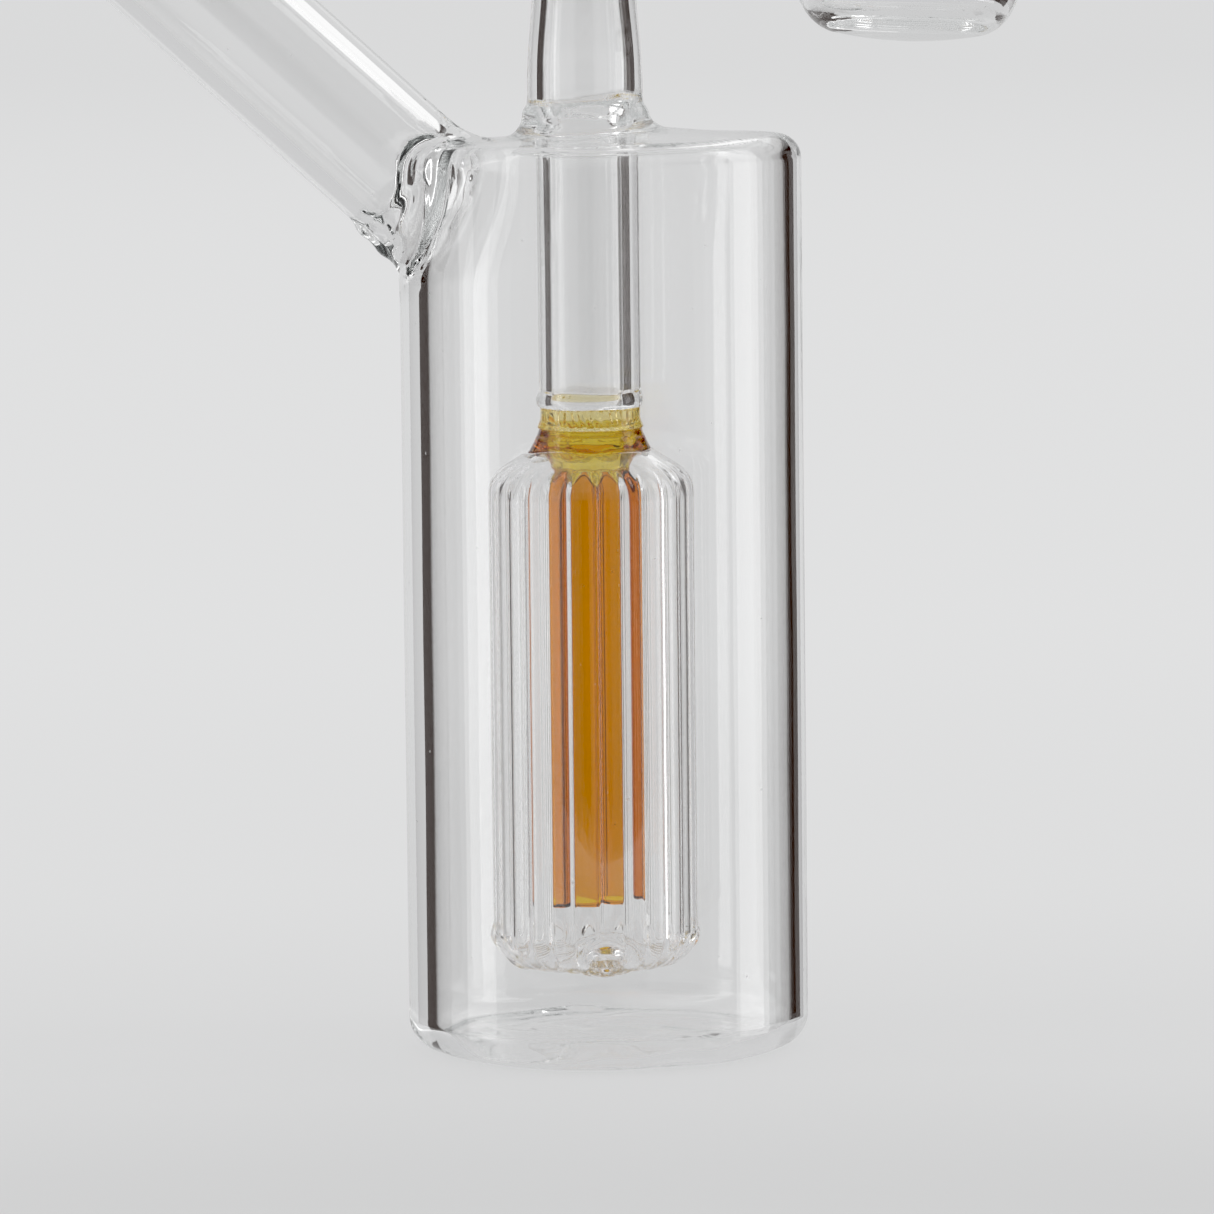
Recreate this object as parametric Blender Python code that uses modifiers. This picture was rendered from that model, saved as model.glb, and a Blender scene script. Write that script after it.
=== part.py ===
"""Glass bubbler: a straight-sided can on a flat base, a slanted neck fused over its shoulder, and a
side cup whose bent arm leads down a dip tube to an amber tube inside a fluted diffuser jacket.

Metres, +Z up. The origin is the centre of the base's flat underside. The neck leans towards -X, the
cup hangs on the +X side, and both lie in the XZ plane. Every piece is a length of drawn tube or a
gathered ring of glass; neighbours that are flame-sealed to each other keep a small seam gap."""

import math

import bmesh
import bpy
from mathutils import Matrix, Vector

MM = 0.001

# Seam gap left between two sealed pieces, and how finely round pieces are faceted.
GAP = 0.3 * MM
CAN_STEPS = 48
TUBE_STEPS = 32
ARC_STEPS = 4

# The can: one wide tube, flattened shut at both ends.
CAN_RADIUS = 23 * MM
CAN_HEIGHT = 104.5 * MM
CAN_WALL = 2.6 * MM
CAN_BORE = CAN_RADIUS - CAN_WALL
FLOOR_THICKNESS = 1.7 * MM
TOP_THICKNESS = 1.5 * MM
HEEL_RADIUS = 3.3 * MM
SHOULDER_RADIUS = 2.5 * MM
INNER_CORNER = 2.2 * MM
BASE_SEAM = 8 * MM
TOP_SEAM = 88 * MM
TOP_UNDERSIDE = CAN_HEIGHT - TOP_THICKNESS

# The neck, on an axis that starts on the can's wall just under the shoulder.
NECK_ROOT = Vector((-CAN_RADIUS, 0, 101 * MM))
NECK_LEAN = math.radians(47.5)
NECK_RADIUS = 8 * MM
NECK_BORE = 6 * MM
NECK_START = 3 * MM
NECK_LENGTH = 86 * MM
NECK_WELD_RADIUS = 8.5 * MM
LIP_LENGTH = 6.5 * MM
LIP_RADIUS = 10 * MM

# The stem: riser above the top plate, dip tube below it, a little off the can's centre.
STEM_X = -1.6 * MM
STEM_BORE = 4.2 * MM
RISER_WELD_RADIUS = 7.3 * MM
RISER_WELD_HEIGHT = 3.6 * MM
RISER_RADIUS = 6.5 * MM
RISER_TOP_RADIUS = 5.8 * MM
RISER_TOP = 119.5 * MM
DIP_RADIUS = 5.9 * MM
DIP_WELD_RADIUS = 6.6 * MM
DIP_WELD_HEIGHT = 2.2 * MM
SEAM_TOP = 74.6 * MM
SEAM_HEIGHT = 1.1 * MM
SEAM_RADIUS = 6.1 * MM

# The diffuser: amber collar and drop tube, and the clear fluted jacket around them.
COLLAR_FOOT = 68.3 * MM
COLLAR_FOOT_RADIUS = 7.5 * MM
DROP_RADIUS = 4.5 * MM
DROP_BORE = 3.3 * MM
DROP_END = 16.5 * MM
JACKET_RADIUS = 11.7 * MM
JACKET_WALL = 1.5 * MM
JACKET_MOUTH = 5.6 * MM
JACKET_SHOULDER = 64 * MM
JACKET_BOTTOM = 9.4 * MM
JACKET_HEEL = 3.8 * MM
JACKET_FLOOR = 1.8 * MM
FLUTES = 27
FLUTE_DEPTH = 0.4 * MM
STEPS_PER_FLUTE = 4
PORTS = 4
PORT_RADIUS = 1.8 * MM
PORT_TURN = math.radians(6)

# The arm and the side cup.
ARM_RADIUS = 5.8 * MM
ARM_WALL = 1.7 * MM
ARM_BEND = 13 * MM
ARM_HEIGHT = 134 * MM
CUP_X = 35.2 * MM
CUP_RADIUS = 12.7 * MM
CUP_WALL = 2.5 * MM
CUP_BOTTOM = 115 * MM
CUP_RIM = 146 * MM
CUP_FLOOR = 3.4 * MM
CUP_HEEL = 3.4 * MM
CUP_DOME = 0.9 * MM
CUP_WELD = 2.4 * MM


def clear_scene():
    for obj in list(bpy.data.objects):
        bpy.data.objects.remove(obj, do_unlink=True)


def collection(name):
    made = bpy.data.collections.new(name)
    bpy.context.scene.collection.children.link(made)
    return made


def glass(name, colour):
    """Clear or tinted borosilicate: smooth, not metallic, see-through."""
    material = bpy.data.materials.new(name)
    material.use_nodes = True
    shader = material.node_tree.nodes["Principled BSDF"]
    shader.inputs["Base Color"].default_value = (*colour, 1)
    shader.inputs["Roughness"].default_value = 0.02
    shader.inputs["Metallic"].default_value = 0
    shader.inputs["IOR"].default_value = 1.47
    shader.inputs["Transmission Weight"].default_value = 1
    return material


def smooth(mesh):
    mesh.shade_smooth()
    mesh.set_sharp_from_angle(angle=math.radians(35))


def add(name, data, material, home):
    obj = bpy.data.objects.new(name, data)
    if material is not None:
        data.materials.append(material)
    home.objects.link(obj)
    return obj


def arc(centre, radius, start, end, steps=ARC_STEPS):
    """Points (r, z) on a round, from one angle to another in degrees, 0 pointing out along +r."""
    angles = [math.radians(start + (end - start) * i / steps) for i in range(steps + 1)]
    return [(centre[0] + radius * math.cos(a), centre[1] + radius * math.sin(a)) for a in angles]


def turned(name, profile, material, home, steps=TUBE_STEPS, closed=True):
    """A body of revolution about its own Z. The (r, z) profile runs down its outer side; a closed
    one is a ring's section, an open one starts and ends on the axis."""
    mesh = bpy.data.meshes.new(name)
    count = len(profile)
    edges = [(i, i + 1) for i in range(count - 1)]
    if closed:
        edges.append((count - 1, 0))
    mesh.from_pydata([(r, 0, z) for r, z in profile], edges, [])
    obj = add(name, mesh, material, home)
    screw = obj.modifiers.new("Turn", "SCREW")
    screw.steps = screw.render_steps = steps
    screw.use_merge_vertices = True
    screw.merge_threshold = 0.01 * MM
    screw.use_smooth_shade = True
    return obj


def lay_on_neck(obj):
    """Stands the object's own Z along the neck's axis."""
    obj.location = NECK_ROOT
    obj.rotation_euler = (0, -NECK_LEAN, 0)


def cut(obj, cutter):
    boolean = obj.modifiers.new("Cut by " + cutter.name, "BOOLEAN")
    boolean.operation = "DIFFERENCE"
    boolean.solver = "EXACT"
    boolean.object = cutter


def cutter_cylinder(name, radius, low, high, home, steps=TUBE_STEPS):
    obj = turned(name, [(0, high), (radius, high), (radius, low), (0, low)], None, home, steps, closed=False)
    obj.hide_render = True
    obj.display_type = "WIRE"
    return obj


def can_outline(grow=0.0):
    """The can's outside as an open profile from the top's centre to the base's centre."""
    radius, top = CAN_RADIUS + grow, CAN_HEIGHT + grow
    shoulder, heel = SHOULDER_RADIUS + grow, HEEL_RADIUS + grow
    return [
        (0, top),
        *arc((radius - shoulder, top - shoulder), shoulder, 90, 0),
        *arc((radius - heel, heel - grow), heel, 0, -90),
        (0, -grow),
    ]


def can_base(material, home):
    """The flat foot: floor, heel and the first few millimetres of wall."""
    inner = (CAN_BORE - INNER_CORNER, FLOOR_THICKNESS + INNER_CORNER)
    profile = [
        (0, FLOOR_THICKNESS),
        *arc(inner, INNER_CORNER, -90, 0),
        (CAN_BORE, BASE_SEAM),
        (CAN_RADIUS, BASE_SEAM),
        *arc((CAN_RADIUS - HEEL_RADIUS, HEEL_RADIUS), HEEL_RADIUS, 0, -90),
        (0, 0),
    ]
    return turned("can_base", profile, material, home, CAN_STEPS, closed=False)


def can_barrel(material, home):
    high, low = TOP_SEAM - GAP, BASE_SEAM + GAP
    profile = [(CAN_RADIUS, high), (CAN_RADIUS, low), (CAN_BORE, low), (CAN_BORE, high)]
    return turned("can_barrel", profile, material, home, CAN_STEPS)


def can_top(material, home, neck_bore, stem_hole):
    """The shoulder and top plate, opened for the neck at its corner and for the stem."""
    inner = (CAN_BORE - INNER_CORNER, TOP_UNDERSIDE - INNER_CORNER)
    profile = [
        (0, CAN_HEIGHT),
        *arc((CAN_RADIUS - SHOULDER_RADIUS, CAN_HEIGHT - SHOULDER_RADIUS), SHOULDER_RADIUS, 90, 0),
        (CAN_RADIUS, TOP_SEAM),
        (CAN_BORE, TOP_SEAM),
        *arc(inner, INNER_CORNER, 0, 90),
        (0, TOP_UNDERSIDE),
    ]
    obj = turned("can_top", profile, material, home, CAN_STEPS, closed=False)
    cut(obj, stem_hole)
    cut(obj, neck_bore)
    return obj


def neck_tube(material, home):
    profile = [
        (NECK_RADIUS, NECK_LENGTH),
        (NECK_RADIUS, NECK_START),
        (NECK_BORE, NECK_START),
        (NECK_BORE, NECK_LENGTH),
    ]
    obj = turned("neck_tube", profile, material, home)
    lay_on_neck(obj)
    return obj


def mouth_lip(material, home):
    """The flared, fire-polished end that the mouth or a hose meets."""
    foot = NECK_LENGTH + GAP
    bead = (NECK_RADIUS - NECK_BORE) / 2
    centre = (LIP_RADIUS - bead, foot + LIP_LENGTH - bead)
    profile = [
        *arc(centre, bead, 135, -20),
        (NECK_RADIUS + 0.4 * MM, foot + LIP_LENGTH * 0.4),
        (NECK_RADIUS, foot),
        (NECK_BORE, foot),
        (NECK_BORE + 0.4 * MM, foot + LIP_LENGTH * 0.45),
    ]
    obj = turned("mouth_lip", profile, material, home)
    lay_on_neck(obj)
    return obj


def neck_weld(material, home, can_cutter):
    """The thick ring of gathered glass that seals the neck over the can's corner."""
    deep = -14 * MM
    profile = [
        (NECK_RADIUS, NECK_START - GAP),
        (NECK_WELD_RADIUS, NECK_START - 1.2 * MM),
        (NECK_WELD_RADIUS, deep),
        (NECK_BORE, deep),
        (NECK_BORE, NECK_START - GAP),
    ]
    obj = turned("neck_weld", profile, material, home)
    lay_on_neck(obj)
    cut(obj, can_cutter)
    return obj


def stem_ring(name, outline, bore, material, home):
    """A tube or ring on the stem's axis. outline runs down its outside as (r, z)."""
    profile = [*outline, (bore, outline[-1][1]), (bore, outline[0][1])]
    obj = turned(name, profile, material, home)
    obj.location.x = STEM_X
    return obj


def riser(material, home):
    """The stub above the top plate and the gathered ring that seals it there."""
    foot = CAN_HEIGHT + GAP
    weld_top = foot + RISER_WELD_HEIGHT
    weld = [(RISER_RADIUS, weld_top), (RISER_WELD_RADIUS, foot)]
    stem_ring("riser_weld", weld, STEM_BORE, material, home)
    low, bend_start = weld_top + GAP, RISER_TOP - 5 * MM
    profile = [
        (RISER_TOP_RADIUS, RISER_TOP),
        ((RISER_RADIUS + RISER_TOP_RADIUS) / 2 + 0.15 * MM, bend_start),
        (RISER_RADIUS, bend_start - 5 * MM),
        (RISER_RADIUS, low),
        (STEM_BORE + 0.6 * MM, low),
        (STEM_BORE + 0.6 * MM, bend_start - 5 * MM),
        (ARM_RADIUS - ARM_WALL, RISER_TOP),
    ]
    obj = turned("riser_tube", profile, material, home)
    obj.location.x = STEM_X


def dip(material, home):
    """The ring under the top plate, the dip tube, and the seam bead at its lower end."""
    weld_top = TOP_UNDERSIDE - GAP
    weld_foot = weld_top - DIP_WELD_HEIGHT
    stem_ring("dip_weld", [(DIP_WELD_RADIUS, weld_top), (DIP_RADIUS, weld_foot)], STEM_BORE, material, home)
    tube = [(DIP_RADIUS, weld_foot - GAP), (DIP_RADIUS, SEAM_TOP + GAP)]
    stem_ring("dip_tube", tube, STEM_BORE, material, home)
    middle = SEAM_TOP - SEAM_HEIGHT / 2
    bead = [(DIP_RADIUS, SEAM_TOP), (SEAM_RADIUS, middle), (DIP_RADIUS, SEAM_TOP - SEAM_HEIGHT)]
    stem_ring("seam_bead", bead, STEM_BORE - 0.3 * MM, material, home)


def amber_parts(material, home):
    """The bell-shaped collar that the jacket hangs from, and the open drop tube inside."""
    top = SEAM_TOP - SEAM_HEIGHT - GAP
    sweep = 2.6 * MM
    flare = arc((DIP_RADIUS + sweep, top), sweep, 180, 235)
    profile = [
        *flare,
        (COLLAR_FOOT_RADIUS, COLLAR_FOOT),
        (DROP_BORE, COLLAR_FOOT),
        (DROP_BORE, COLLAR_FOOT + 1.5 * MM),
        (STEM_BORE, top - 1.5 * MM),
        (STEM_BORE, top),
    ]
    collar = turned("amber_collar", profile, material, home)
    collar.location.x = STEM_X
    tube = [(DROP_RADIUS, COLLAR_FOOT - GAP), (DROP_RADIUS, DROP_END)]
    stem_ring("drop_tube", tube, DROP_BORE, material, home)


def jacket_profile():
    """(r, z, fluted) down the jacket's outside to its closed floor, then up its inside."""
    lip = COLLAR_FOOT - GAP
    outer_lip = COLLAR_FOOT_RADIUS + 0.2 * MM
    wall, floor = JACKET_WALL, JACKET_BOTTOM + JACKET_FLOOR
    slope = JACKET_SHOULDER + 2.2 * MM
    inner = JACKET_RADIUS - wall
    heel = (JACKET_RADIUS - JACKET_HEEL, JACKET_BOTTOM + JACKET_HEEL)
    inner_heel = JACKET_HEEL - wall
    outside = [
        (outer_lip, lip, 0),
        (JACKET_RADIUS - 2.1 * MM, slope, 0),
        (JACKET_RADIUS - 0.5 * MM, JACKET_SHOULDER + 0.9 * MM, 0.6),
        (JACKET_RADIUS, JACKET_SHOULDER - 1.2 * MM, 1),
        *[(r, z, 1) for r, z in arc(heel, JACKET_HEEL, 0, -67.5, 3)],
        (JACKET_RADIUS - JACKET_HEEL, JACKET_BOTTOM, 0.7),
        (2 * MM, JACKET_BOTTOM, 0),
        (0, JACKET_BOTTOM, 0),
    ]
    inside = [
        (0, floor, 0),
        *[(r, z, 0) for r, z in arc((heel[0], floor + inner_heel), inner_heel, -90, 0, 3)],
        (inner, JACKET_SHOULDER - 1.6 * MM, 0),
        (inner - 0.7 * MM, JACKET_SHOULDER - 0.2 * MM, 0),
        (JACKET_MOUTH, lip - 1.3 * MM, 0),
        (JACKET_MOUTH, lip, 0),
    ]
    return outside, inside


def fluted_jacket(material, home, port_cutters):
    """The ribbed jacket: the profile spun round, then its outside pinched in between the ribs."""
    outside, inside = jacket_profile()
    depth_at = {}
    mesh = bpy.data.meshes.new("fluted_jacket")
    shape = bmesh.new()
    floor_inside = [shape.verts.new((r, 0, z)) for r, z, _ in inside]
    wall_outside = [shape.verts.new((r, 0, z)) for r, z, _ in outside]
    loop = floor_inside + wall_outside
    for low, high in zip(loop, loop[1:]):
        shape.edges.new((low, high))
    for r, z, fluted in outside:
        depth_at[round(r / MM, 3), round(z / MM, 3)] = fluted
    bmesh.ops.spin(
        shape,
        geom=shape.verts[:] + shape.edges[:],
        cent=(0, 0, 0),
        axis=(0, 0, 1),
        angle=math.tau,
        steps=FLUTES * STEPS_PER_FLUTE,
        use_merge=True,
    )
    bmesh.ops.remove_doubles(shape, verts=shape.verts, dist=0.005 * MM)
    bmesh.ops.recalc_face_normals(shape, faces=shape.faces)
    for vert in shape.verts:
        radius = math.hypot(vert.co.x, vert.co.y)
        fluted = depth_at.get((round(radius / MM, 3), round(vert.co.z / MM, 3)), 0)
        if fluted:
            turn = math.atan2(vert.co.y, vert.co.x)
            pinch = FLUTE_DEPTH * fluted * (1 - abs(math.cos(turn * FLUTES / 2)))
            vert.co.xy *= (radius - pinch) / radius
    shape.to_mesh(mesh)
    shape.free()
    smooth(mesh)
    obj = add("fluted_jacket", mesh, material, home)
    obj.location.x = STEM_X
    for cutter in port_cutters:
        cut(obj, cutter)
    return obj


def port_cutters(home):
    """Short cylinders that pierce the jacket's heel, aimed down and outwards."""
    made = []
    for i in range(PORTS):
        turn = PORT_TURN + math.tau * i / PORTS - math.pi / 2
        cutter = cutter_cylinder(f"port_cutter_{i + 1}", PORT_RADIUS, -4 * MM, 4 * MM, home, 16)
        aim = Vector((math.cos(turn), math.sin(turn), -1)).normalized()
        reach = JACKET_RADIUS - JACKET_HEEL * 0.4
        centre = Vector((STEM_X + reach * math.cos(turn), reach * math.sin(turn), JACKET_BOTTOM + JACKET_HEEL * 0.4))
        cutter.matrix_world = Matrix.Translation(centre) @ aim.to_track_quat("Z", "Y").to_matrix().to_4x4()
        made.append(cutter)
    return made


def bent_tube(name, points, radius, wall, material, home):
    """A hollow tube along a path of points: an open bevelled curve given its wall by Solidify."""
    curve = bpy.data.curves.new(name, "CURVE")
    curve.dimensions = "3D"
    curve.bevel_depth = radius
    curve.bevel_resolution = 6
    curve.use_fill_caps = False
    spline = curve.splines.new("POLY")
    spline.points.add(len(points) - 1)
    for point, place in zip(spline.points, points):
        point.co = (*place, 1)
    obj = add(name, curve, material, home)
    solidify = obj.modifiers.new("Wall", "SOLIDIFY")
    solidify.thickness = wall
    solidify.offset = -1
    return obj


def arm(material, home):
    """The arm: up from the riser, round a quarter bend, and level to the cup."""
    start = RISER_TOP + GAP
    bend_x, bend_z = STEM_X + ARM_BEND, ARM_HEIGHT - ARM_BEND
    end = CUP_X - CUP_RADIUS - CUP_WELD - GAP
    bend = [
        (bend_x - ARM_BEND * math.cos(a), 0, bend_z + ARM_BEND * math.sin(a))
        for a in (math.radians(90 * i / 8) for i in range(9))
    ]
    return bent_tube("arm_tube", [(STEM_X, 0, start), *bend, (end, 0, ARM_HEIGHT)], ARM_RADIUS, ARM_WALL, material, home)


def cup_outline(grow=0.0):
    """The cup's outside, from its rim down to the middle of its slightly domed bottom."""
    radius = CUP_RADIUS + grow
    heel = CUP_HEEL + grow
    return [
        (radius, CUP_RIM),
        *arc((CUP_RADIUS - CUP_HEEL, CUP_BOTTOM + CUP_DOME + CUP_HEEL), heel, 0, -80),
        (0, CUP_BOTTOM - grow),
    ]


def cup(material, home, arm_hole):
    """The side cup with a rounded rim and a thick, slightly domed bottom."""
    bore = CUP_RADIUS - CUP_WALL
    rim = CUP_WALL / 2
    floor = CUP_BOTTOM + CUP_FLOOR
    corner = 2 * MM
    profile = [
        (0, floor),
        *arc((bore - corner, floor + corner), corner, -90, 0),
        *arc((bore + rim, CUP_RIM - rim), rim, 180, 0),
        *cup_outline()[1:],
    ]
    obj = turned("cup", profile, material, home, CAN_STEPS, closed=False)
    obj.location.x = CUP_X
    cut(obj, arm_hole)
    return obj


def cup_weld(material, home, cup_cutter):
    """The ring that seals the arm's level end to the cup's side."""
    end = CUP_RADIUS - 4 * MM
    start = CUP_RADIUS + CUP_WELD
    bore = ARM_RADIUS - ARM_WALL
    profile = [
        (ARM_RADIUS, start),
        (ARM_RADIUS + 0.6 * MM, start - CUP_WELD / 2),
        (ARM_RADIUS + 0.6 * MM, end),
        (bore, end),
        (bore, start),
    ]
    obj = turned("cup_weld", profile, material, home)
    obj.location = (CUP_X, 0, ARM_HEIGHT)
    obj.rotation_euler = (0, -math.pi / 2, 0)
    cut(obj, cup_cutter)
    return obj


def main():
    clear_scene()
    home = collection("glass_bubbler")
    tools = collection("cutters")
    clear = glass("clear_glass", (0.92, 0.95, 0.95))
    amber = glass("amber_glass", (0.78, 0.4, 0.03))

    neck_bore = cutter_cylinder("neck_bore_cutter", NECK_BORE, -14 * MM, 12 * MM, tools)
    lay_on_neck(neck_bore)
    stem_hole = cutter_cylinder("stem_hole_cutter", STEM_BORE, TOP_UNDERSIDE - 5 * MM, CAN_HEIGHT + 5 * MM, tools)
    stem_hole.location.x = STEM_X
    can_cutter = turned("can_cutter", can_outline(GAP), None, tools, CAN_STEPS, closed=False)
    cup_cutter = turned("cup_cutter", [(0, CUP_RIM), *cup_outline(GAP)], None, tools, CAN_STEPS, closed=False)
    cup_cutter.location.x = CUP_X
    for helper in (can_cutter, cup_cutter):
        helper.hide_render = True
        helper.display_type = "WIRE"
    arm_hole = cutter_cylinder("arm_hole_cutter", ARM_RADIUS - ARM_WALL, 5 * MM, CUP_RADIUS + 5 * MM, tools)
    arm_hole.location = (CUP_X, 0, ARM_HEIGHT)
    arm_hole.rotation_euler = (0, -math.pi / 2, 0)

    can_base(clear, home)
    can_barrel(clear, home)
    can_top(clear, home, neck_bore, stem_hole)
    neck_weld(clear, home, can_cutter)
    neck_tube(clear, home)
    mouth_lip(clear, home)
    riser(clear, home)
    arm(clear, home)
    cup_weld(clear, home, cup_cutter)
    cup(clear, home, arm_hole)
    dip(clear, home)
    amber_parts(amber, home)
    fluted_jacket(clear, home, port_cutters(tools))


main()
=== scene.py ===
import math

import bpy
import numpy as np
from mathutils import Matrix, Vector


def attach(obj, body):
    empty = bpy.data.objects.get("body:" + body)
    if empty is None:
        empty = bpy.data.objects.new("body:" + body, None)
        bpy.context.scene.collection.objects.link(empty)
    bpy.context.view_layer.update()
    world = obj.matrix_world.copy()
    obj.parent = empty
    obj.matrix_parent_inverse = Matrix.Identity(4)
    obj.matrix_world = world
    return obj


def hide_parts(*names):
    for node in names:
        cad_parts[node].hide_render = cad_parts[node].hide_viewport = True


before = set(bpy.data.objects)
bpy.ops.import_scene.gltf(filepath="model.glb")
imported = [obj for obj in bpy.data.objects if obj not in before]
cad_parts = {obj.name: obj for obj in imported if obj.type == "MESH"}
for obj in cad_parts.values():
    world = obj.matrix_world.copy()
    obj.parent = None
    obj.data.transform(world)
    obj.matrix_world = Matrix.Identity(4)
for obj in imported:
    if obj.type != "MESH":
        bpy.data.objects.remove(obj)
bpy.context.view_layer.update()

# --- The blown vessel -------------------------------------------------------------------------
# One piece of clear borosilicate: can, slanted neck, stem, bent arm, side cup and dip tube, each a
# length of drawn tube, melted together in a flame. Every joint is left as a fat, lumpy ring where
# the glass ran together. Sizes are in millimetres.

CAN_RADIUS, CAN_BORE, CAN_BORE_X = 23.0, 20.5, 0.46
CAN_TOP, CAN_TOP_UNDERSIDE = 104.3, 103.0
CAN_FLOOR = 1.5
CAN_HEEL, CAN_SHOULDER = 3.6, 2.8
INNER_HEEL, INNER_SHOULDER = 2.3, 1.2
STEM_X = -1.6
NECK_FOOT = (-22.7, 101.0)
NECK_LEAN = math.radians(47.5)
NECK_RADIUS, NECK_BORE, NECK_END = 8.0, 6.0, 92.8
TUBE_RADIUS, TUBE_BORE, DIP_BORE, WELD_BORE, RISER_BORE = 5.8, 4.1, 4.15, 3.7, 4.85
BEND, ARM_Z = 13.0, 134.0
CUP_X, CUP_RADIUS, CUP_BORE, CUP_BOTTOM, CUP_RIM = 35.2, 12.7, 10.2, 115.0, 146.0
CUP_FLOOR, CUP_HEEL, CUP_INNER_HEEL, CUP_LIP = 3.6, 4.4, 2.4, 1.2
DIP_RADIUS, DIP_END, BEAD_Z = 5.85, 73.75, 74.6
BEADS = [(-26.6, -1.0, 94.4, 0.9), (-24.6, -0.6, 92.3, 0.9)]  # on the neck's weld: x, y, z and radius
RISER_RING_RADIUS, RISER_RING_Z, CUP_RING_RADIUS = 6.3, 107.2, 5.4


def melt(a, b, blend):
    """Two shapes run together: the lesser distance, with a fillet about blend / 4 deep."""
    near = np.maximum(blend - np.abs(a - b), 0) / blend
    return np.minimum(a, b) - near * near * blend / 4


def hollow(body, space, blend):
    """A body with a space taken out of it, its edge rounded by the flame."""
    return -melt(-body, space, blend)


def ease(value, low, high):
    """0 below low and 1 above high, with a smooth rise between."""
    t = np.clip((value - low) / (high - low), 0, 1)
    return t * t * (3 - 2 * t)


def unevenness(x, y, z, size, seed):
    """A smooth wandering value between about -1 and 1, with bumps about size apart."""
    rng = np.random.default_rng(seed)
    total = 0
    for _ in range(7):
        way = rng.normal(size=3)
        way *= 2 * math.pi / (size * rng.uniform(1.2, 2.4)) / np.linalg.norm(way)
        total = total + np.sin(x * way[0] + y * way[1] + z * way[2] + rng.uniform(0, 6.28))
    return total / 3.5


def round_can(r, z, radius, low, high, low_edge, high_edge):
    """Distance to an upright cylinder with rounded ends."""
    edge = np.where(z > (low + high) / 2, high_edge, low_edge)
    out = r - radius + edge
    up = np.abs(z - (low + high) / 2) - (high - low) / 2 + edge
    return np.minimum(np.maximum(out, up), 0) + np.hypot(np.maximum(out, 0), np.maximum(up, 0)) - edge


def neck_place(x, y, z):
    """Distance along the neck from its foot, and out from its axis."""
    dx, dz = x - NECK_FOOT[0], z - NECK_FOOT[1]
    along = -dx * math.sin(NECK_LEAN) + dz * math.cos(NECK_LEAN)
    aside = dx * math.cos(NECK_LEAN) + dz * math.sin(NECK_LEAN)
    return along, np.hypot(aside, y)


def stem_path(x, y, z, below, radius):
    """Distance to the line of the riser, the quarter bend and the level arm, less a radius."""
    bend_x, bend_z = STEM_X + BEND, ARM_Z - BEND
    upright = np.maximum(np.hypot(x - STEM_X, y) - radius, np.maximum(z - bend_z, below - z))
    dx, dz = x - bend_x, z - bend_z
    turn = np.hypot(np.hypot(dx, dz) - BEND, y) - radius
    turn = np.maximum(turn, np.maximum(dx, -dz))
    level = np.maximum(np.hypot(y, dz - BEND) - radius, np.maximum(-dx, x - (CUP_X - CUP_BORE + 1)))
    return np.minimum(np.minimum(upright, turn), level)


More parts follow.
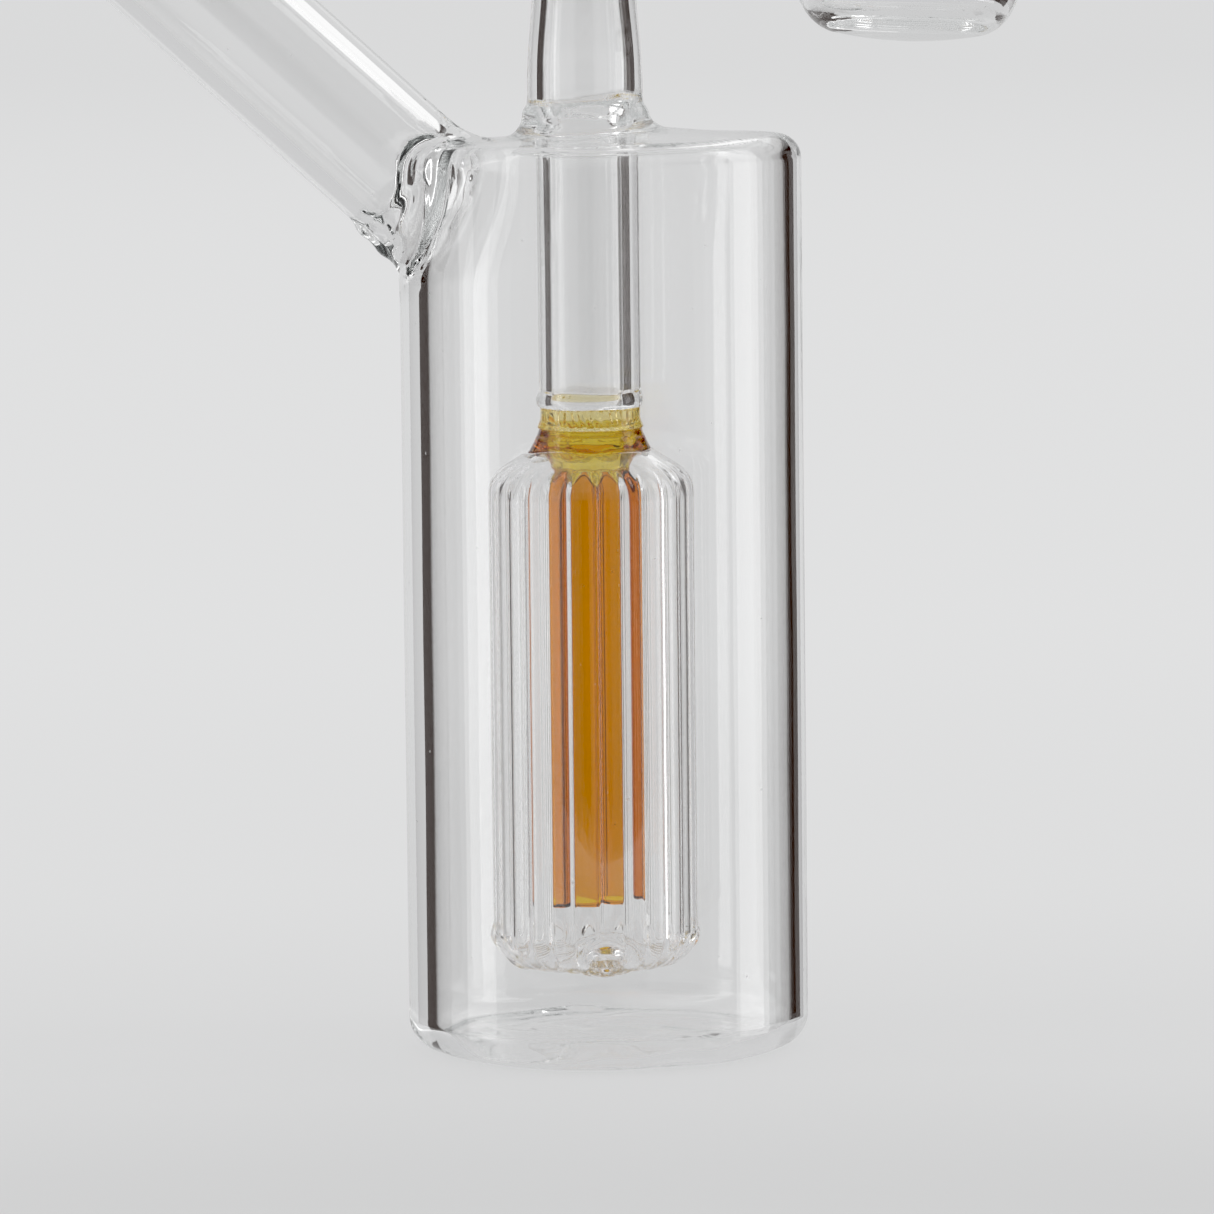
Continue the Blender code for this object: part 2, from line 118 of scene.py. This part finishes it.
def vessel(x, y, z):
    r = np.hypot(x, y)
    stem_r = np.hypot(x - STEM_X, y)
    stem_turn = np.arctan2(y, x - STEM_X)
    sway = unevenness(x, y, z, 9, 3)
    lumps = unevenness(x, y, z, 2.4, 8)
    ripple = unevenness(x, y, z, 5, 21)

    # The can: a slightly domed thin top plate, a rippled floor and a foot with a soft heel. Its wall
    # is thicker on the neck's side, and gathers inwards under the neck.
    dome = (1.6 * np.exp(-((x - 1) ** 2 + y**2) / 12**2) + 0.02 * (x - 5)) * (z > 50)
    under = 0.08 * (1 + ripple) * (1 - ease(z, 0.8, 3))
    can = round_can(r, z - dome - under, CAN_RADIUS, 0, CAN_TOP, CAN_HEEL, CAN_SHOULDER)
    swirl = np.sin(2 * np.arctan2(y, x) + r * 0.5 + ripple) * ease(r, 2, 8) * 0.2 + 0.15 * ripple
    floor_wave = swirl * (1 - ease(z, 5, 9))
    bore_r = np.hypot(x - CAN_BORE_X, y) + 2.3 * ease(z, 88, 104) * ease(-x, 8, 21)
    inner_z = z - dome - floor_wave
    inside = round_can(bore_r, inner_z, CAN_BORE, CAN_FLOOR, CAN_TOP_UNDERSIDE, INNER_HEEL, INNER_SHOULDER)

    # The neck, flared and fire-polished at its mouth.
    along, aside = neck_place(x, y, z)
    flare = 2.0 * ease(along, NECK_END - 6, NECK_END - 0.5)
    gathered = 1 - ease(along, -3.4, 0.4)
    folds = gathered * 0.1 * np.sin(1.9 * along + ripple)
    neck = np.maximum(aside - NECK_RADIUS - flare - folds, np.maximum(along - NECK_END, -8 - along))
    neck_bore = np.maximum(aside - NECK_BORE - flare * 0.95, -10.5 - along)
    neck_bore = neck_bore + gathered * 0.6 + folds

    # The cup, hung from the arm and tipped by two degrees.
    cup_r = np.hypot(x - CUP_X, y)
    tip = 0.036 * (x - CUP_X) * (1 - ease(z, 119, 134))
    cup_z = z + tip - 1.9 * (cup_r / CUP_RADIUS) ** 2 * (z < 130)
    cup = round_can(cup_r, cup_z, CUP_RADIUS, CUP_BOTTOM, CUP_RIM, CUP_HEEL, CUP_LIP)
    cup_low, above_rim = CUP_BOTTOM + CUP_FLOOR, CUP_RIM + 20
    cup_inside = round_can(cup_r, z + tip, CUP_BORE, cup_low, above_rim, CUP_INNER_HEEL, CUP_INNER_HEEL)

    # The stem: wide where it meets the plate, drawn narrower above, its bore pinched in the weld.
    widen = 0.8 * (1 - ease(z, 110, 124)) + 0.8 * (1 - ease(z, 105.3, 108.5))
    riser = stem_path(x, y, z, 100, TUBE_RADIUS) - widen
    weld_z = z - 0.12 * (x - STEM_X) - 0.5 * ripple
    pinch = (WELD_BORE - DIP_BORE) * ease(z, 102.6, 104.6)
    pinch = pinch + (RISER_BORE - WELD_BORE) * ease(weld_z, 105.2, 109.2)
    bore_grows = DIP_BORE - TUBE_BORE + pinch + (TUBE_BORE - RISER_BORE) * ease(z, 112, 124)
    bore = stem_path(x + 0.22 * (1 - ease(z, 102, 106)), y, z, 60, TUBE_BORE) - bore_grows

    outside = melt(can, neck, 1.6)
    seam = np.maximum(0, 1 - (np.abs(can) + np.abs(neck)) / 3.0)
    outside = outside - seam * (0.3 + 0.12 * ripple)
    for bead_x, bead_y, bead_z, size in BEADS:
        away = np.sqrt((x - bead_x) ** 2 + (y - bead_y) ** 2 + (z - bead_z) ** 2)
        outside = melt(outside, away - size, 1.6)
    ring = np.hypot(stem_r - RISER_RING_RADIUS, z - RISER_RING_Z) - 0.6 - 0.1 * lumps
    ring = ring - 0.1 * np.sin(4 * stem_turn + 2 * z)
    outside = melt(outside, melt(riser, ring, 1.2), 2.2)
    cup_side = CUP_X - CUP_RADIUS - 0.6
    ring = np.hypot(np.hypot(y, z - ARM_Z) - CUP_RING_RADIUS, x - cup_side) - 1.3 - 0.2 * lumps
    outside = melt(outside, melt(cup, ring, 1.5), 1.5)

    glass = hollow(outside, melt(inside, neck_bore, 2.2), 1.2)
    dip = np.maximum(stem_r - DIP_RADIUS, np.maximum(DIP_END - z, z - CAN_TOP_UNDERSIDE - 1))
    bead = np.hypot(stem_r - 5.4, z - BEAD_Z) - 0.75 - 0.12 * lumps
    dip = melt(dip, np.maximum(bead, DIP_END - z), 0.5)
    glass = melt(glass, dip, 1.6)
    glass = hollow(glass, melt(bore, cup_inside, 1.2), 0.9)
    return glass - 0.003 * sway * (1 - ease(z, 92, 100) * (r < CAN_RADIUS - 2))


def ruled(*stops):
    """Grid lines from (place, spacing) pairs: a spacing holds from its place up to the next one."""
    lines = [stops[-1][0]]
    for (low, step), (high, *_) in zip(stops, stops[1:]):
        count = max(1, round((high - low) / step))
        lines.extend(np.linspace(low, high, count, endpoint=False))
    return np.sort(np.array(lines))


def surface(field, lines):
    """The skin of a shape given as a distance field over three sets of grid lines: points in
    millimetres, four-sided faces, and the true slope of the shape at each point."""
    counts = [len(line) for line in lines]
    value = np.broadcast_to(field(*np.meshgrid(*lines, indexing="ij", sparse=True)), counts)
    solid = value < 0

    # One point in each cell that the skin passes through, at the middle of its crossings.
    cells = [n - 1 for n in counts]
    total = np.zeros((*cells, 3))
    hits = np.zeros(cells)
    for axis in range(3):
        shape_low = [slice(None)] * 3
        shape_high = [slice(None)] * 3
        shape_low[axis], shape_high[axis] = slice(0, -1), slice(1, None)
        a, b = value[tuple(shape_low)], value[tuple(shape_high)]
        crossed = (a < 0) != (b < 0)
        share = np.where(crossed, a / np.where(crossed, a - b, 1), 0)
        others = [i for i in range(3) if i != axis]
        for first in (0, 1):
            for second in (0, 1):
                take = [slice(None)] * 3
                take[others[0]] = slice(first, first + cells[others[0]])
                take[others[1]] = slice(second, second + cells[others[1]])
                part = crossed[tuple(take)]
                hits += part
                total[..., axis] += share[tuple(take)] * part
                total[..., others[0]] += first * part
                total[..., others[1]] += second * part
    active = hits > 0
    index = np.full(cells, -1)
    index[active] = np.arange(active.sum())
    corner = np.argwhere(active)
    first_line = np.stack([line[corner[:, i]] for i, line in enumerate(lines)], axis=1)
    cell = np.stack([np.diff(line)[corner[:, i]] for i, line in enumerate(lines)], axis=1)
    points = first_line + cell * total[active] / hits[active][:, None]

    faces = []
    for axis in range(3):
        i, j = [(1, 2), (2, 0), (0, 1)][axis]
        take = [slice(1, -1)] * 3
        take[axis] = slice(0, -1)
        ahead = list(take)
        ahead[axis] = slice(1, None)
        a, b = solid[tuple(take)], solid[tuple(ahead)]
        for leaving in (True, False):
            edge = np.argwhere((a == leaving) & (b == (not leaving)))
            edge += [0 if k == axis else 1 for k in range(3)]
            quad = []
            for di, dj in [(-1, -1), (0, -1), (0, 0), (-1, 0)]:
                at = edge.copy()
                at[:, i] += di
                at[:, j] += dj
                quad.append(index[at[:, 0], at[:, 1], at[:, 2]])
            if not leaving:
                quad.reverse()
            faces.append(np.stack(quad, axis=1))
    faces = np.concatenate(faces)

    def slope(at):
        reach = 0.03
        gradient = np.empty_like(at)
        for axis in range(3):
            step_by = np.zeros(3)
            step_by[axis] = reach
            gradient[:, axis] = (field(*(at + step_by).T) - field(*(at - step_by).T)) / (2 * reach)
        return gradient

    def settle(at):
        gradient = slope(at)
        size = np.maximum((gradient**2).sum(axis=1), 0.05)
        move = (field(*at.T) / size)[:, None] * gradient
        return at - np.clip(move, -0.4 * cell, 0.4 * cell)

    for _ in range(3):
        points = settle(points)
    for _ in range(3):
        middle = points[faces].mean(axis=1)
        pull = np.zeros_like(points)
        count = np.zeros(len(points))
        for k in range(4):
            np.add.at(pull, faces[:, k], middle)
            np.add.at(count, faces[:, k], 1)
        points = settle(points + 0.5 * (pull / np.maximum(count, 1)[:, None] - points))
    points = settle(points)
    normals = slope(points)
    normals /= np.maximum(np.linalg.norm(normals, axis=1), 1e-9)[:, None]
    return points, faces, normals


def skinned(name, field, *lines):
    """A piece whose mesh is the skin of a distance field, with its true surface slopes kept."""
    points, faces, normals = surface(field, lines)
    mesh = bpy.data.meshes.new(name)
    mesh.from_pydata((points * 0.001).tolist(), [], faces.tolist())
    mesh.validate()
    mesh.shade_smooth()
    mesh.normals_split_custom_set_from_vertices(normals.tolist())
    piece = bpy.data.objects.new(name, mesh)
    bpy.context.scene.collection.objects.link(piece)
    return piece


def glass_finish(name, tint, volume_colour, volume_density, wave=0.12):
    """Flame-polished borosilicate: faint drawing waves along the tube, a breath of haze and a few
    specks of dust. The colour is in the glass itself."""
    material = bpy.data.materials.new(name)
    material.use_nodes = True
    nodes, links = material.node_tree.nodes, material.node_tree.links
    shader = nodes["Principled BSDF"]
    shader.inputs["IOR"].default_value = 1.47
    shader.inputs["Transmission Weight"].default_value = 1.0
    where = nodes.new("ShaderNodeTexCoord")
    stretch = nodes.new("ShaderNodeMapping")
    stretch.inputs["Scale"].default_value = (1, 1, 0.12)
    links.new(where.outputs["Object"], stretch.inputs["Vector"])

    waves = nodes.new("ShaderNodeTexNoise")
    waves.inputs["Scale"].default_value = 260
    waves.inputs["Detail"].default_value = 2
    links.new(stretch.outputs["Vector"], waves.inputs["Vector"])
    bump = nodes.new("ShaderNodeBump")
    bump.inputs["Strength"].default_value = wave
    bump.inputs["Distance"].default_value = 0.00003
    links.new(waves.outputs["Fac"], bump.inputs["Height"])
    links.new(bump.outputs["Normal"], shader.inputs["Normal"])

    cast = nodes.new("ShaderNodeTexNoise")
    cast.inputs["Scale"].default_value = 45
    cast.inputs["Detail"].default_value = 3
    links.new(where.outputs["Object"], cast.inputs["Vector"])
    colour = nodes.new("ShaderNodeValToRGB")
    colour.color_ramp.elements[0].position = 0.3
    colour.color_ramp.elements[0].color = (*[c * 0.985 for c in tint], 1)
    colour.color_ramp.elements[1].position = 0.7
    colour.color_ramp.elements[1].color = (*tint, 1)
    links.new(cast.outputs["Fac"], colour.inputs["Fac"])
    links.new(colour.outputs["Color"], shader.inputs["Base Color"])

    specks = nodes.new("ShaderNodeTexVoronoi")
    specks.inputs["Scale"].default_value = 170
    links.new(where.outputs["Object"], specks.inputs["Vector"])
    dust = nodes.new("ShaderNodeMapRange")
    dust.inputs["From Min"].default_value = 0.02
    dust.inputs["From Max"].default_value = 0.035
    dust.inputs["To Min"].default_value = 0.35
    dust.inputs["To Max"].default_value = 0.0
    links.new(specks.outputs["Distance"], dust.inputs["Value"])
    links.new(dust.outputs["Result"], shader.inputs["Roughness"])

    depth = nodes.new("ShaderNodeVolumeAbsorption")
    depth.inputs["Color"].default_value = (*volume_colour, 1)
    depth.inputs["Density"].default_value = volume_density
    links.new(depth.outputs["Volume"], nodes["Material Output"].inputs["Volume"])
    return material


clear_glass = glass_finish("clear_borosilicate", (1.0, 1.0, 1.0), (0.55, 0.62, 0.6), 1.6)
body = skinned(
    "blown_vessel", vessel, ruled((-98, 0.75), (50.5,)), ruled((-25, 0.75), (25,)),
    ruled((-1.5, 0.4), (8, 2.4), (73.2, 0.3), (76.5, 2.4), (87, 0.7), (174.5,)),
)
body.data.materials.append(clear_glass)
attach(body, "root")
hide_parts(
    "can_base", "can_barrel", "can_top", "neck_weld", "neck_tube", "mouth_lip", "riser_weld",
    "riser_tube", "arm_tube", "cup_weld", "cup", "dip_weld", "dip_tube",
)

# --- The amber collar -------------------------------------------------------------------------
# A short bell of amber glass under the fading seam. Its foot is drawn out to carry the clear
# jacket, and wanders a little where the two colours were melted together.

COLLAR_TOP, COLLAR_END = 71.3, 66.0
JACKET_SEAM = 68.55


def colour_line(x, y):
    """The height of the wavy line where amber glass meets clear."""
    turn = np.arctan2(y, x - STEM_X)
    line = JACKET_SEAM + 0.5 * np.sin(turn + 2.6) + 0.28 * np.sin(2 * turn + 0.6)
    return line + 0.1 * np.sin(5 * turn)


def amber_bell(x, y, z):
    r = np.hypot(x - STEM_X, y)
    crackle = unevenness(x, y, z * 0.5, 1.3, 5)
    waves = unevenness(x * 0.6, y * 0.6, z * 1.6, 3.4, 12)
    line = colour_line(x, y)
    outer = r - (5.7 + 1.9 * ease(z, 73.0, 67.0) ** 1.5)
    bell = np.maximum(outer, np.maximum(z - COLLAR_TOP, line + 0.03 - z))
    inner_cone = np.maximum(r - (4.5 + 1.4 * ease(z, 66.3, 69.2)), np.maximum(z - 70, COLLAR_END - z))
    bell = melt(bell, inner_cone, 0.7)
    bore = r - (4.15 + 0.55 * ease(z, 72.8, 70.5) - 1.4 * ease(z, 70.0, 66.4))
    return hollow(bell, bore - 0.09 * crackle * ease(z, 66.5, 69) - 0.1 * waves, 0.5)


amber_soft = glass_finish("amber_collar_glass", (1.0, 0.99, 0.96), (0.955, 0.885, 0.25), 1250)
collar = skinned(
    "amber_collar_bell", amber_bell, ruled((STEM_X - 8.6, 0.25), (STEM_X + 8.6,)),
    ruled((-8.6, 0.25), (8.6,)), ruled((65, 0.25), (74.5,)),
)
collar.data.materials.append(amber_soft)
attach(collar, "root")
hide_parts("amber_collar")

# --- The fading seam --------------------------------------------------------------------------
# The short length where amber and clear glass were melted into each other. It is pale amber and
# its bore is finely crackled.

FADE_LOW, FADE_HIGH = 71.35, 73.7


def fading_seam(x, y, z):
    r = np.hypot(x - STEM_X, y)
    turn = np.arctan2(y, x - STEM_X)
    crackle = unevenness(x, y, z * 0.5, 1.6, 5)
    cords = 0.09 * np.sin(30 * turn + 3 * crackle + 0.8 * z) * ease(z, 71.5, 72.0) * ease(z, 73.6, 73.1)
    wall = np.maximum(r - (5.72 + 0.35 * ease(z, 72.6, FADE_LOW)), DIP_BORE + 0.1 - r - cords)
    return np.maximum(wall, np.maximum(FADE_LOW - z, z - FADE_HIGH))


amber_pale = glass_finish("amber_pale_glass", (1.0, 0.99, 0.96), (0.972, 0.92, 0.6), 620)
seam_ring = skinned(
    "fading_seam_ring", fading_seam, ruled((STEM_X - 6.8, 0.2), (STEM_X + 6.8,)),
    ruled((-6.8, 0.2), (6.8,)), ruled((70.9, 0.2), (74.2,)),
)
seam_ring.data.materials.append(amber_pale)
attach(seam_ring, "root")
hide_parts("seam_bead")

# --- The amber drop tube ----------------------------------------------------------------------
# A straight length of deep amber tube inside the jacket. Its lower end is open, cut a little out of
# square and fire-polished.

DROP_RADIUS, DROP_BORE, DROP_END = 4.5, 3.25, 16.7


def drop(x, y, z):
    r = np.hypot(x - STEM_X, y)
    low_end = DROP_END + 0.09 * (x - STEM_X)
    tube = np.maximum(r - DROP_RADIUS, np.maximum(z - COLLAR_END + 0.05, low_end - z))
    return hollow(tube, r - DROP_BORE, 0.5) - 0.003 * unevenness(x, y, z * 0.2, 4, 31)


amber_deep = glass_finish("amber_tube_glass", (1.0, 0.99, 0.96), (0.982, 0.893, 0.0), 3900)
tube = skinned(
    "amber_drop_tube", drop, ruled((STEM_X - 5.2, 0.25), (STEM_X + 5.2,)), ruled((-5.2, 0.25), (5.2,)),
    ruled((15.2, 0.25), (18.5, 1.6), (64.5, 0.25), (67,)),
)
tube.data.materials.append(amber_deep)
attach(tube, "root")
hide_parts("drop_tube")

# --- The fluted jacket ------------------------------------------------------------------------
# Clear tube blown in a ribbed mould, closed below and sealed to the collar's foot. Four gas ports
# are burst through its rounded lower edge, each with a thick melted rim.

JACKET_RADIUS, JACKET_WALL, JACKET_BOTTOM, JACKET_HEEL = 11.8, 1.35, 9.4, 4.2
SHOULDER_RADIUS, SHOULDER_Z, SHOULDER_OUT, SHOULDER_UP = 7.7, 68.5, 0.53, 0.848
FLUTES, FLUTE_DEPTH = 27, 0.4
PORT_TURNS = [math.radians(a) for a in (-83, 7, 97, 186)]
PORT_OUT, PORT_Z, PORT_RADIUS = 10.15, 10.9, 1.75


def ribbed_jacket(x, y, z):
    dx = x - STEM_X
    r = np.hypot(dx, y)
    turn = np.arctan2(y, dx)
    sag = unevenness(x, y, 0, 6, 44)
    wall = round_can(r, z, JACKET_RADIUS, JACKET_BOTTOM, 90, JACKET_HEEL, 1)
    shoulder = (r - SHOULDER_RADIUS) * SHOULDER_OUT + (z - SHOULDER_Z) * SHOULDER_UP
    smooth = -melt(-wall, -shoulder, 1.7)
    groove = 1 - np.sqrt(np.cos(turn * FLUTES / 2) ** 2 + 0.025)
    rib = 0.35 * groove + 0.65 * groove**4
    fade = (1 - ease(z, 65, 67.2)) * ease(r, 2.5, 7.5)
    outer = smooth + FLUTE_DEPTH * fade * rib - 0.008 * sag
    inner = smooth + JACKET_WALL + 0.05 * fade * np.cos(turn * FLUTES) - 0.01 * sag
    shell = hollow(outer, inner, 0.3)
    for way in PORT_TURNS:
        out = dx * math.cos(way) + y * math.sin(way)
        side = -dx * math.sin(way) + y * math.cos(way)
        a, b = out - PORT_OUT, z - PORT_Z
        along, across = (a - b) * 0.7071, (a + b) * 0.7071
        rim = np.hypot(np.hypot(across, side) - PORT_RADIUS - 0.5, along + 0.75) - 0.6
        shell = melt(shell, rim, 1.4)
        shell = hollow(shell, np.maximum(np.hypot(across, side) - PORT_RADIUS, -3.5 - along), 0.6)
    return np.maximum(shell, z - colour_line(x, y) + 0.03)


jacket = skinned(
    "fluted_diffuser_jacket", ribbed_jacket, ruled((STEM_X - 13, 0.21), (STEM_X + 13,)),
    ruled((-13, 0.21), (13,)), ruled((8, 0.33), (15.5, 3.2), (61.5, 0.33), (70.5,)),
)
jacket.data.materials.append(clear_glass)
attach(jacket, "root")
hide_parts("fluted_jacket")

# --- Floor and studio -------------------------------------------------------------------------
# A pale floor that glows with painted light, darker towards the camera, and runs into a pale surround;
# tall soft lights at both sides, and black cloths behind to left and right that give the glass its edges.
# On the camera's side hang dim cloths.


def grey(level):
    """The light of a neutral grey, from its shade between 0 and 255 on a screen."""
    share = level / 255
    return ((share + 0.055) / 1.055) ** 2.4


def glow(name, colour, strength):
    material = bpy.data.materials.new(name)
    material.use_nodes = True
    shader = material.node_tree.nodes["Principled BSDF"]
    shader.inputs["Base Color"].default_value = (0, 0, 0, 1)
    shader.inputs["Specular IOR Level"].default_value = 0
    shader.inputs["Emission Color"].default_value = (*colour, 1)
    shader.inputs["Emission Strength"].default_value = strength
    return material


def shades(nodes, stops):
    """A ramp of neutral greys: (place, screen shade) pairs, with a hint of blue."""
    ramp = nodes.new("ShaderNodeValToRGB")
    ramp.color_ramp.interpolation = "EASE"
    while len(ramp.color_ramp.elements) < len(stops):
        ramp.color_ramp.elements.new(0.5)
    for element, (place, level) in zip(ramp.color_ramp.elements, stops):
        element.position = place
        element.color = (grey(level) * 0.997, grey(level), grey(level) * 1.004, 1)
    return ramp


FLOOR_SIZE = 12
FLOOR_CENTRE = (0, -0.35, -0.0002)
bpy.ops.mesh.primitive_circle_add(vertices=96, radius=FLOOR_SIZE, fill_type="NGON", location=FLOOR_CENTRE)
floor = bpy.context.object
floor.name = "studio_floor"
floor_painted_glow = bpy.data.materials.new("floor_painted_glow")
floor_painted_glow.use_nodes = True
floor_nodes, floor_links = floor_painted_glow.node_tree.nodes, floor_painted_glow.node_tree.links
floor_shader = floor_nodes["Principled BSDF"]
floor_shader.inputs["Base Color"].default_value = (0.1, 0.1, 0.1, 1)
floor_shader.inputs["Roughness"].default_value = 1
floor_shader.inputs["Specular IOR Level"].default_value = 0
# Painted light: the floor's brightness is an emitted glow rather than light falling on it, so its shadows
# stay faint. The glow is darker in front of the can towards the camera and paler behind it.
floor_place = floor_nodes.new("ShaderNodeTexCoord")
floor_reach = floor_nodes.new("ShaderNodeVectorMath")
floor_reach.operation = "LENGTH"
floor_links.new(floor_place.outputs["Object"], floor_reach.inputs[0])
floor_painted_light_stops = [(0.05, 200), (0.07, 208), (0.1, 213), (0.17, 216), (0.33, 216), (0.9, 210)]
floor_painted_light_ramp = shades(floor_nodes, floor_painted_light_stops)
floor_scale = floor_nodes.new("ShaderNodeMapRange")
floor_scale.inputs["From Max"].default_value = 5
floor_links.new(floor_reach.outputs["Value"], floor_scale.inputs["Value"])
floor_links.new(floor_scale.outputs["Result"], floor_painted_light_ramp.inputs["Fac"])
floor_links.new(floor_painted_light_ramp.outputs["Color"], floor_shader.inputs["Emission Color"])
floor_shader.inputs["Emission Strength"].default_value = 1.0
floor.data.materials.append(floor_painted_glow)
floor.visible_glossy = False
floor.visible_transmission = False

world = bpy.data.worlds.new("pale_surround")
world.use_nodes = True
world_nodes, world_links = world.node_tree.nodes, world.node_tree.links
sky_way = world_nodes.new("ShaderNodeTexCoord")
sky_split = world_nodes.new("ShaderNodeSeparateXYZ")
world_links.new(sky_way.outputs["Generated"], sky_split.inputs["Vector"])
sky_height = world_nodes.new("ShaderNodeMapRange")
sky_height.inputs["From Min"].default_value = -0.2
sky_height.inputs["From Max"].default_value = 0.1
world_links.new(sky_split.outputs["Z"], sky_height.inputs["Value"])
sky_stops = [(0.08, 206), (0.22, 212), (0.33, 217), (0.5, 218), (0.6, 214), (0.7, 209)]
sky_ramp = shades(world_nodes, sky_stops)
world_links.new(sky_height.outputs["Result"], sky_ramp.inputs["Fac"])
world_links.new(sky_ramp.outputs["Color"], world_nodes["Background"].inputs["Color"])
bpy.context.scene.world = world


def panel(name, turn, half_width, distance, low, high, material):
    """An upright panel facing the vessel. turn is its bearing in degrees, 0 towards the camera and
    90 to the right; it is left out of direct view."""
    bearing = math.radians(turn)
    centre = Vector((math.sin(bearing), -math.cos(bearing), 0)) * distance
    across = Vector((math.cos(bearing), math.sin(bearing), 0)) * distance
    across = across * math.tan(math.radians(half_width))
    mesh = bpy.data.meshes.new(name)
    corners = [centre - across + Vector((0, 0, low)), centre + across + Vector((0, 0, low)),
               centre + across + Vector((0, 0, high)), centre - across + Vector((0, 0, high))]
    mesh.from_pydata(corners, [], [(0, 1, 2, 3)])
    mesh.materials.append(material)
    obj = bpy.data.objects.new(name, mesh)
    bpy.context.scene.collection.objects.link(obj)
    obj.visible_camera = False
    return obj


soft_light = glow("soft_light", (1, 1, 1), 2.2)
black_cloth = glow("black_cloth", (0.035, 0.022, 0.018), 1)
grey_cloth = glow("grey_cloth", (0.1, 0.1, 0.1), 1)
pale_cloth = glow("pale_cloth", (0.48, 0.48, 0.48), 1)
high_light = glow("high_light", (1, 1, 1), 1.0)
panel("light_right", 93, 12, 0.9, -0.25, 1.2, soft_light)
panel("light_left", -82, 5.5, 0.9, -0.25, 1.2, soft_light)
panel("dark_right", 135, 18, 1.2, -0.2, 0.45, black_cloth)
panel("dark_left", 231, 14, 1.2, -0.2, 0.45, black_cloth)
panel("light_high", 145, 26, 1.2, 0.52, 1.5, high_light)
panel("camera_side", 0, 24, 1.3, -0.15, 0.6, grey_cloth)
panel("camera_low", 0, 24, 1.3, -0.9, -0.16, pale_cloth)
panel("camera_right", 43, 18, 1.3, -0.9, 0.6, pale_cloth)
panel("camera_left", -43, 18, 1.3, -0.9, 0.6, pale_cloth)

# --- Camera -----------------------------------------------------------------------------------
# A long lens a little above the can, level with the stem's arm, and rolled by about half a degree.

eye = Vector((0.0003, -0.85, 0.137))
target = Vector((0.0003, 0, 0.0506))
ahead = (target - eye).normalized()
roll = math.radians(0.6)
upward = Vector((math.sin(roll), 0, math.cos(roll)))
right = ahead.cross(upward).normalized()
up = right.cross(ahead)
camera_data = bpy.data.cameras.new("studio_camera")
camera_data.sensor_width = 36
camera_data.lens = 220.7
camera_data.clip_start = 0.01
camera_data.clip_end = 30
camera = bpy.data.objects.new("studio_camera", camera_data)
camera.matrix_world = Matrix.Translation(eye) @ Matrix((right, up, -ahead)).transposed().to_4x4()
bpy.context.scene.collection.objects.link(camera)
bpy.context.scene.camera = camera

scene = bpy.context.scene
scene.view_settings.view_transform = "Standard"
scene.view_settings.use_curve_mapping = True
scene.view_settings.curve_mapping.black_level = (0.02, 0.02, 0.02)
scene.view_settings.curve_mapping.update()
scene.cycles.max_bounces = 64
scene.cycles.transmission_bounces = 64
scene.cycles.glossy_bounces = 64
scene.cycles.transparent_max_bounces = 16
